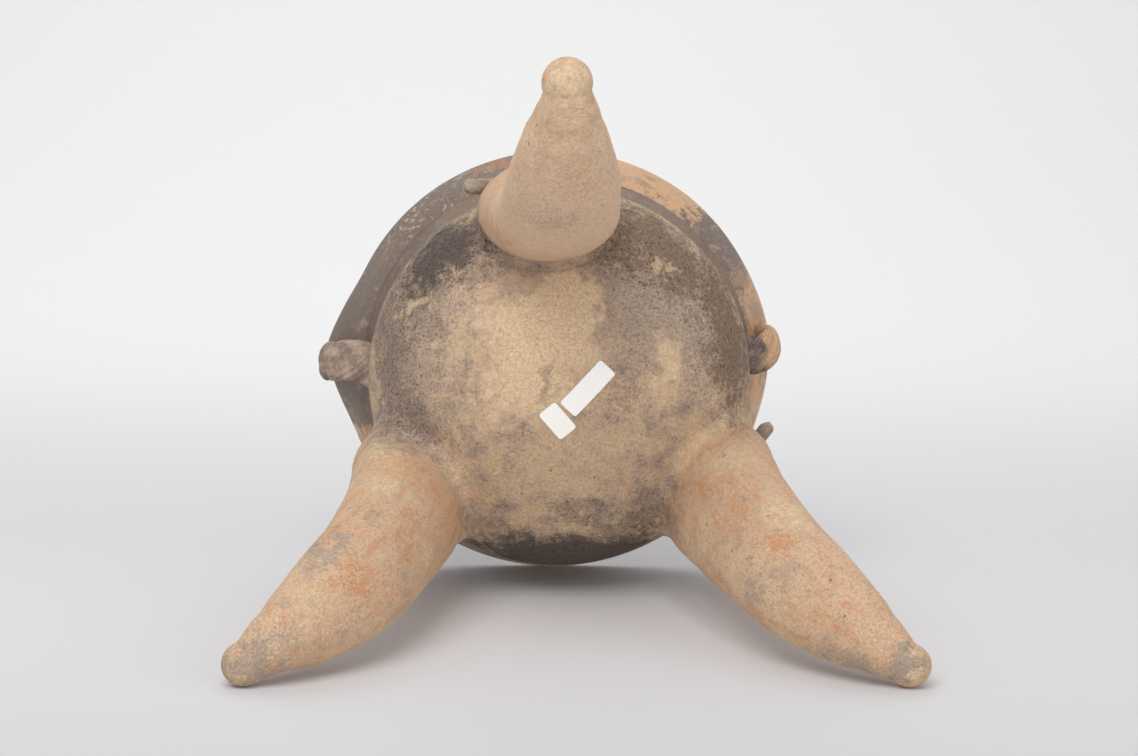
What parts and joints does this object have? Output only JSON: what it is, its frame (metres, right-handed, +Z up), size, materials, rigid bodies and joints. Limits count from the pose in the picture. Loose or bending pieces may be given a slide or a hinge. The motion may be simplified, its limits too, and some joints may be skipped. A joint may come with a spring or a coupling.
{
  "type": "tripod rattle vessel",
  "caption": "Round-bottomed ceramic bowl with a flared rim and twisted strap handles, on hollow bent legs with slits and loose rattle pellets.",
  "frame": {"origin": "middle of the bounding box, on the floor plane through the three soles", "axes": "+Z up through the bowl and its mouth, -Y towards the leg called front, +X towards the right handle"},
  "size_m": [0.237, 0.2228, 0.2038],
  "materials": {
    "bowl_clay": "matt, smoothed fired clay, mottled by smoke",
    "neck_clay": "satin, wiped fired clay",
    "rim_clay": "satin, worn burnished fired clay",
    "leg_clay": "matt, fine-grained buff fired clay",
    "nub_clay": "matt, worn buff fired clay",
    "trim_clay": "matt, coarse speckled fired clay",
    "pellet_clay": "matt fired clay",
    "label_paper": "matt white paper"
  },
  "bodies": {
    "vessel": {"bowl_body": "bowl_clay", "neck_band": "neck_clay", "rim_band": "rim_clay", "leg_shell_front": "leg_clay", "nub_foot_front": "nub_clay", "luting_fillet_front": "bowl_clay", "clay_roll_front": "trim_clay", "leg_shell_left": "leg_clay", "nub_foot_left": "nub_clay", "luting_fillet_left": "bowl_clay", "clay_roll_left": "trim_clay", "leg_shell_right": "leg_clay", "nub_foot_right": "nub_clay", "luting_fillet_right": "bowl_clay", "clay_roll_right": "trim_clay", "strap_handle_left": "trim_clay", "strap_handle_right": "trim_clay", "paper_label_long": "label_paper", "paper_label_short": "label_paper"},
    "pellet_front_1": {"rattle_pellet_front_1": "pellet_clay"},
    "pellet_front_2": {"rattle_pellet_front_2": "pellet_clay"},
    "pellet_front_3": {"rattle_pellet_front_3": "pellet_clay"},
    "pellet_left_1": {"rattle_pellet_left_1": "pellet_clay"},
    "pellet_left_2": {"rattle_pellet_left_2": "pellet_clay"},
    "pellet_left_3": {"rattle_pellet_left_3": "pellet_clay"},
    "pellet_right_1": {"rattle_pellet_right_1": "pellet_clay"},
    "pellet_right_2": {"rattle_pellet_right_2": "pellet_clay"},
    "pellet_right_3": {"rattle_pellet_right_3": "pellet_clay"}
  },
  "joints": [
    {"name": "pellet_front_1_run", "type": "slide", "parent": "vessel", "child": "pellet_front_1", "axis": [-0.01, 0.2416, 0.9703], "range_m": [0, 0.11]},
    {"name": "pellet_front_2_run", "type": "slide", "parent": "vessel", "child": "pellet_front_2", "axis": [-0.01, 0.2416, 0.9703], "range_m": [0, 0.105]},
    {"name": "pellet_front_3_run", "type": "slide", "parent": "vessel", "child": "pellet_front_3", "axis": [-0.01, 0.2416, 0.9703], "range_m": [0, 0.105]},
    {"name": "pellet_left_1_run", "type": "slide", "parent": "vessel", "child": "pellet_left_1", "axis": [0.2278, -0.0879, 0.9697], "range_m": [0, 0.11]},
    {"name": "pellet_left_2_run", "type": "slide", "parent": "vessel", "child": "pellet_left_2", "axis": [0.2278, -0.0879, 0.9697], "range_m": [0, 0.105]},
    {"name": "pellet_left_3_run", "type": "slide", "parent": "vessel", "child": "pellet_left_3", "axis": [0.2278, -0.0879, 0.9697], "range_m": [0, 0.105]},
    {"name": "pellet_right_1_run", "type": "slide", "parent": "vessel", "child": "pellet_right_1", "axis": [-0.2105, -0.1183, 0.9704], "range_m": [0, 0.11]},
    {"name": "pellet_right_2_run", "type": "slide", "parent": "vessel", "child": "pellet_right_2", "axis": [-0.2105, -0.1183, 0.9704], "range_m": [0, 0.105]},
    {"name": "pellet_right_3_run", "type": "slide", "parent": "vessel", "child": "pellet_right_3", "axis": [-0.2105, -0.1183, 0.9704], "range_m": [0, 0.105]}
  ]
}
